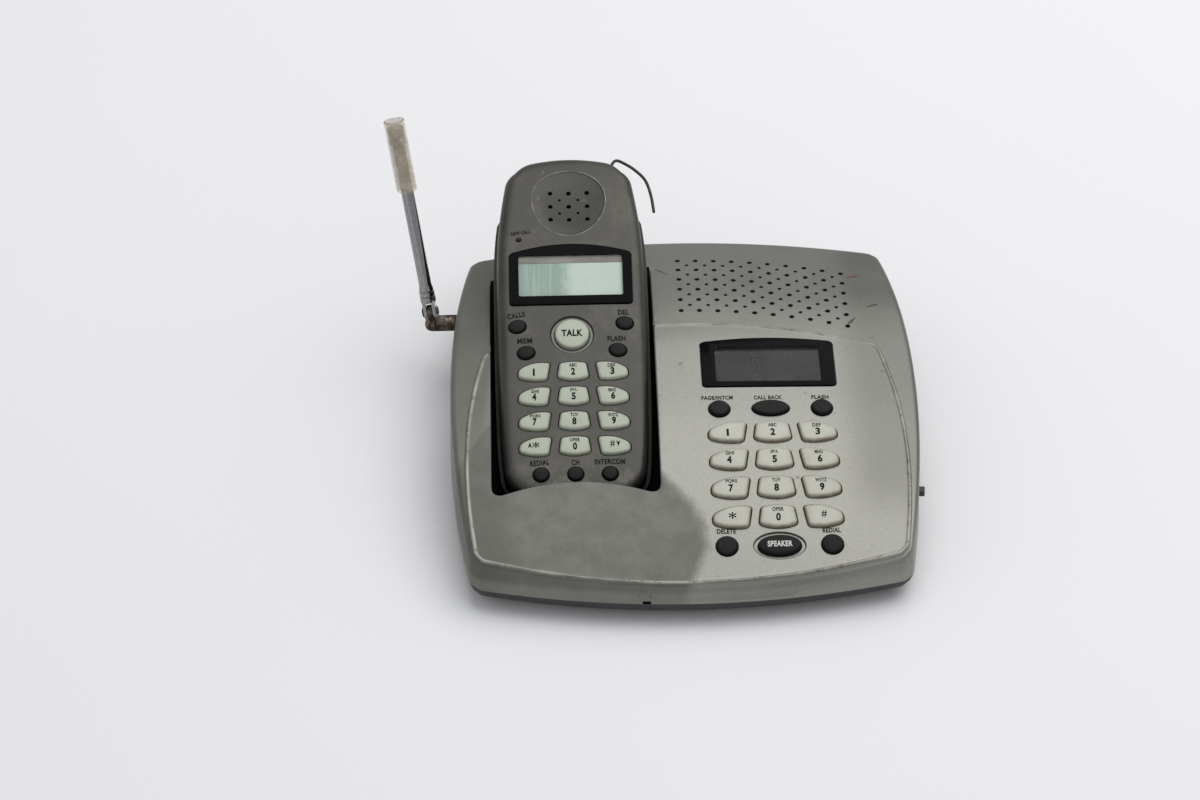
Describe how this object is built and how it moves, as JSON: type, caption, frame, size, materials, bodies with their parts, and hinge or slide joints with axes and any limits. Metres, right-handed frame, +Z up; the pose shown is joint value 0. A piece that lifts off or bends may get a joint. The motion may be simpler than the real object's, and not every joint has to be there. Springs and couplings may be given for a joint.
{
  "type": "cordless telephone with speakerphone base",
  "caption": "Cordless desk telephone: base with keypad, display, speaker grille and telescopic antenna, and a handset lying in the base's cradle pocket.",
  "frame": {"origin": "on the surface that the feet stand on, under the middle of the whole telephone's box", "axes": "+X across the base to its right, +Y from the front edge to the rear, +Z up"},
  "size_m": [0.2187, 0.2178, 0.1159],
  "materials": {
    "silver_plastic": "satin metallic-look silver",
    "gunmetal_plastic": "satin metallic-look dark silver",
    "charcoal_plastic": "matte",
    "key_beige": "satin, worn",
    "key_white": "satin, translucent milky",
    "button_rubber": "matte",
    "window_gloss": "gloss",
    "base_screen": "dull display",
    "handset_screen": "pale display",
    "board_green": "lacquered",
    "speaker_black": "matte",
    "chrome": "polished, lightly worn",
    "rusty_steel": "rusted",
    "sleeve_plastic": "translucent, yellowed",
    "wire_black": "matte sheath",
    "cell_wrap": "shrink wrap"
  },
  "bodies": {
    "base": {"base_top_shell": "silver_plastic", "base_bottom_shell": "charcoal_plastic", "base_display_window": "window_gloss", "base_display_panel": "base_screen", "base_circuit_board": "board_green", "loudspeaker": "speaker_black", "front_foot_strip": "button_rubber", "rear_foot_strip": "button_rubber", "jack_block": "charcoal_plastic", "antenna_elbow": "rusty_steel"},
    "handset": {"handset_front_shell": "gunmetal_plastic", "handset_back_shell": "gunmetal_plastic", "handset_display_window": "window_gloss", "handset_display_panel": "handset_screen", "handset_antenna_wire": "wire_black", "battery_pack": "cell_wrap"},
    "battery_cover": {"battery_cover": "gunmetal_plastic"},
    "antenna_outer": {"antenna_outer_tube": "chrome"},
    "antenna_middle": {"antenna_middle_tube": "chrome"},
    "antenna_tip": {"antenna_tip_rod": "chrome", "antenna_sleeve": "sleeve_plastic"},
    "volume_slider": {"volume_slider": "charcoal_plastic"},
    "base_call_back_button": {"base_call_back_button": "button_rubber"},
    "base_delete_button": {"base_delete_button": "button_rubber"},
    "base_flash_button": {"base_flash_button": "button_rubber"},
    "base_key_0": {"base_key_0": "key_beige"},
    "base_key_1": {"base_key_1": "key_beige"},
    "base_key_2": {"base_key_2": "key_beige"},
    "base_key_3": {"base_key_3": "key_beige"},
    "base_key_4": {"base_key_4": "key_beige"},
    "base_key_5": {"base_key_5": "key_beige"},
    "base_key_6": {"base_key_6": "key_beige"},
    "base_key_7": {"base_key_7": "key_beige"},
    "base_key_8": {"base_key_8": "key_beige"},
    "base_key_9": {"base_key_9": "key_beige"},
    "base_key_hash": {"base_key_hash": "key_beige"},
    "base_key_star": {"base_key_star": "key_beige"},
    "base_page_button": {"base_page_button": "button_rubber"},
    "base_redial_button": {"base_redial_button": "button_rubber"},
    "base_speaker_button": {"base_speaker_button": "button_rubber"},
    "handset_calls_button": {"handset_calls_button": "button_rubber"},
    "handset_channel_button": {"handset_channel_button": "button_rubber"},
    "handset_delete_button": {"handset_delete_button": "button_rubber"},
    "handset_flash_button": {"handset_flash_button": "button_rubber"},
    "handset_intercom_button": {"handset_intercom_button": "button_rubber"},
    "handset_key_0": {"handset_key_0": "key_white"},
    "handset_key_1": {"handset_key_1": "key_white"},
    "handset_key_2": {"handset_key_2": "key_white"},
    "handset_key_3": {"handset_key_3": "key_white"},
    "handset_key_4": {"handset_key_4": "key_white"},
    "handset_key_5": {"handset_key_5": "key_white"},
    "handset_key_6": {"handset_key_6": "key_white"},
    "handset_key_7": {"handset_key_7": "key_white"},
    "handset_key_8": {"handset_key_8": "key_white"},
    "handset_key_9": {"handset_key_9": "key_white"},
    "handset_key_hash": {"handset_key_hash": "key_white"},
    "handset_key_star": {"handset_key_star": "key_white"},
    "handset_memory_button": {"handset_memory_button": "button_rubber"},
    "handset_redial_button": {"handset_redial_button": "button_rubber"},
    "handset_talk_button": {"handset_talk_button": "key_white"}
  },
  "joints": [
    {"name": "handset_lift", "type": "slide", "parent": "base", "child": "handset", "axis": [0, 0, 1], "range_m": [0, 0.12]},
    {"name": "battery_cover_slide", "type": "slide", "parent": "handset", "child": "battery_cover", "axis": [0, -0.9703, -0.2419], "range_m": [0, 0.0045]},
    {"name": "antenna_fold", "type": "hinge", "parent": "base", "child": "antenna_outer", "pos_m": [-0.0924, 0.0495, 0.0345], "axis": [0.9877, 0, 0.1564], "range_deg": [-70, 105]},
    {"name": "antenna_middle_slide", "type": "slide", "parent": "antenna_outer", "child": "antenna_middle", "axis": [-0.1479, 0.3256, 0.9339], "range_m": [0, 0.053]},
    {"name": "antenna_tip_slide", "type": "slide", "parent": "antenna_middle", "child": "antenna_tip", "axis": [-0.1479, 0.3256, 0.9339], "range_m": [0, 0.053]},
    {"name": "volume_slide", "type": "slide", "parent": "base", "child": "volume_slider", "axis": [0.0982, 0.9952, 0.0027], "range_m": [-0.004, 0.004]},
    {"name": "base_speaker_press", "type": "slide", "parent": "base", "child": "base_speaker_button", "axis": [-0.0024, 0.3436, -0.9391], "range_m": [0, 0.001], "stiffness_N_per_m": 400},
    {"name": "handset_talk_press", "type": "slide", "parent": "handset", "child": "handset_talk_button", "axis": [0, 0.3173, -0.9483], "range_m": [0, 0.001], "stiffness_N_per_m": 400},
    {"name": "base_call_back_press", "type": "slide", "parent": "base", "child": "base_call_back_button", "axis": [-0.0114, 0.1261, -0.992], "range_m": [0, 0.001], "stiffness_N_per_m": 400},
    {"name": "base_delete_press", "type": "slide", "parent": "base", "child": "base_delete_button", "axis": [-0.001, 0.3453, -0.9385], "range_m": [0, 0.001], "stiffness_N_per_m": 400},
    {"name": "base_flash_press", "type": "slide", "parent": "base", "child": "base_flash_button", "axis": [-0.0182, 0.1224, -0.9923], "range_m": [0, 0.001], "stiffness_N_per_m": 400},
    {"name": "base_key_0_press", "type": "slide", "parent": "base", "child": "base_key_0", "axis": [-0.0041, 0.2859, -0.9582], "range_m": [0, 0.001], "stiffness_N_per_m": 400},
    {"name": "base_key_1_press", "type": "slide", "parent": "base", "child": "base_key_1", "axis": [-0.0046, 0.1868, -0.9824], "range_m": [0, 0.001], "stiffness_N_per_m": 400},
    {"name": "base_key_2_press", "type": "slide", "parent": "base", "child": "base_key_2", "axis": [-0.0095, 0.1851, -0.9827], "range_m": [0, 0.001], "stiffness_N_per_m": 400},
    {"name": "base_key_3_press", "type": "slide", "parent": "base", "child": "base_key_3", "axis": [-0.0145, 0.1822, -0.9832], "range_m": [0, 0.001], "stiffness_N_per_m": 400},
    {"name": "base_key_4_press", "type": "slide", "parent": "base", "child": "base_key_4", "axis": [-0.0037, 0.2294, -0.9733], "range_m": [0, 0.001], "stiffness_N_per_m": 400},
    {"name": "base_key_5_press", "type": "slide", "parent": "base", "child": "base_key_5", "axis": [-0.0077, 0.2277, -0.9737], "range_m": [0, 0.001], "stiffness_N_per_m": 400},
    {"name": "base_key_6_press", "type": "slide", "parent": "base", "child": "base_key_6", "axis": [-0.0117, 0.2249, -0.9743], "range_m": [0, 0.001], "stiffness_N_per_m": 400},
    {"name": "base_key_7_press", "type": "slide", "parent": "base", "child": "base_key_7", "axis": [-0.0028, 0.2624, -0.9649], "range_m": [0, 0.001], "stiffness_N_per_m": 400},
    {"name": "base_key_8_press", "type": "slide", "parent": "base", "child": "base_key_8", "axis": [-0.0059, 0.2608, -0.9654], "range_m": [0, 0.001], "stiffness_N_per_m": 400},
    {"name": "base_key_9_press", "type": "slide", "parent": "base", "child": "base_key_9", "axis": [-0.0089, 0.258, -0.9661], "range_m": [0, 0.001], "stiffness_N_per_m": 400},
    {"name": "base_key_hash_press", "type": "slide", "parent": "base", "child": "base_key_hash", "axis": [-0.0062, 0.2832, -0.959], "range_m": [0, 0.001], "stiffness_N_per_m": 400},
    {"name": "base_key_star_press", "type": "slide", "parent": "base", "child": "base_key_star", "axis": [-0.002, 0.2875, -0.9578], "range_m": [0, 0.001], "stiffness_N_per_m": 400},
    {"name": "base_page_press", "type": "slide", "parent": "base", "child": "base_page_button", "axis": [-0.0045, 0.128, -0.9918], "range_m": [0, 0.001], "stiffness_N_per_m": 400},
    {"name": "base_redial_press", "type": "slide", "parent": "base", "child": "base_redial_button", "axis": [-0.0039, 0.3406, -0.9402], "range_m": [0, 0.001], "stiffness_N_per_m": 400},
    {"name": "handset_calls_press", "type": "slide", "parent": "handset", "child": "handset_calls_button", "axis": [0.0282, 0.3172, -0.9479], "range_m": [0, 0.001], "stiffness_N_per_m": 400},
    {"name": "handset_channel_press", "type": "slide", "parent": "handset", "child": "handset_channel_button", "axis": [0, 0.3687, -0.9295], "range_m": [0, 0.001], "stiffness_N_per_m": 400},
    {"name": "handset_delete_press", "type": "slide", "parent": "handset", "child": "handset_delete_button", "axis": [-0.0275, 0.3172, -0.948], "range_m": [0, 0.001], "stiffness_N_per_m": 400},
    {"name": "handset_flash_press", "type": "slide", "parent": "handset", "child": "handset_flash_button", "axis": [-0.0235, 0.3172, -0.9481], "range_m": [0, 0.001], "stiffness_N_per_m": 400},
    {"name": "handset_intercom_press", "type": "slide", "parent": "handset", "child": "handset_intercom_button", "axis": [-0.0175, 0.3687, -0.9294], "range_m": [0, 0.001], "stiffness_N_per_m": 400},
    {"name": "handset_key_0_press", "type": "slide", "parent": "handset", "child": "handset_key_0", "axis": [0, 0.3173, -0.9483], "range_m": [0, 0.001], "stiffness_N_per_m": 400},
    {"name": "handset_key_1_press", "type": "slide", "parent": "handset", "child": "handset_key_1", "axis": [0.0199, 0.3172, -0.9481], "range_m": [0, 0.001], "stiffness_N_per_m": 400},
    {"name": "handset_key_2_press", "type": "slide", "parent": "handset", "child": "handset_key_2", "axis": [0, 0.3173, -0.9483], "range_m": [0, 0.001], "stiffness_N_per_m": 400},
    {"name": "handset_key_3_press", "type": "slide", "parent": "handset", "child": "handset_key_3", "axis": [-0.0199, 0.3172, -0.9481], "range_m": [0, 0.001], "stiffness_N_per_m": 400},
    {"name": "handset_key_4_press", "type": "slide", "parent": "handset", "child": "handset_key_4", "axis": [0.0199, 0.3172, -0.9481], "range_m": [0, 0.001], "stiffness_N_per_m": 400},
    {"name": "handset_key_5_press", "type": "slide", "parent": "handset", "child": "handset_key_5", "axis": [0, 0.3173, -0.9483], "range_m": [0, 0.001], "stiffness_N_per_m": 400},
    {"name": "handset_key_6_press", "type": "slide", "parent": "handset", "child": "handset_key_6", "axis": [-0.0199, 0.3172, -0.9481], "range_m": [0, 0.001], "stiffness_N_per_m": 400},
    {"name": "handset_key_7_press", "type": "slide", "parent": "handset", "child": "handset_key_7", "axis": [0.0199, 0.3172, -0.9481], "range_m": [0, 0.001], "stiffness_N_per_m": 400},
    {"name": "handset_key_8_press", "type": "slide", "parent": "handset", "child": "handset_key_8", "axis": [0, 0.3173, -0.9483], "range_m": [0, 0.001], "stiffness_N_per_m": 400},
    {"name": "handset_key_9_press", "type": "slide", "parent": "handset", "child": "handset_key_9", "axis": [-0.0199, 0.3172, -0.9481], "range_m": [0, 0.001], "stiffness_N_per_m": 400},
    {"name": "handset_key_hash_press", "type": "slide", "parent": "handset", "child": "handset_key_hash", "axis": [-0.0199, 0.3172, -0.9481], "range_m": [0, 0.001], "stiffness_N_per_m": 400},
    {"name": "handset_key_star_press", "type": "slide", "parent": "handset", "child": "handset_key_star", "axis": [0.0199, 0.3172, -0.9481], "range_m": [0, 0.001], "stiffness_N_per_m": 400},
    {"name": "handset_memory_press", "type": "slide", "parent": "handset", "child": "handset_memory_button", "axis": [0.024, 0.3172, -0.9481], "range_m": [0, 0.001], "stiffness_N_per_m": 400},
    {"name": "handset_redial_press", "type": "slide", "parent": "handset", "child": "handset_redial_button", "axis": [0.0175, 0.3687, -0.9294], "range_m": [0, 0.001], "stiffness_N_per_m": 400}
  ]
}
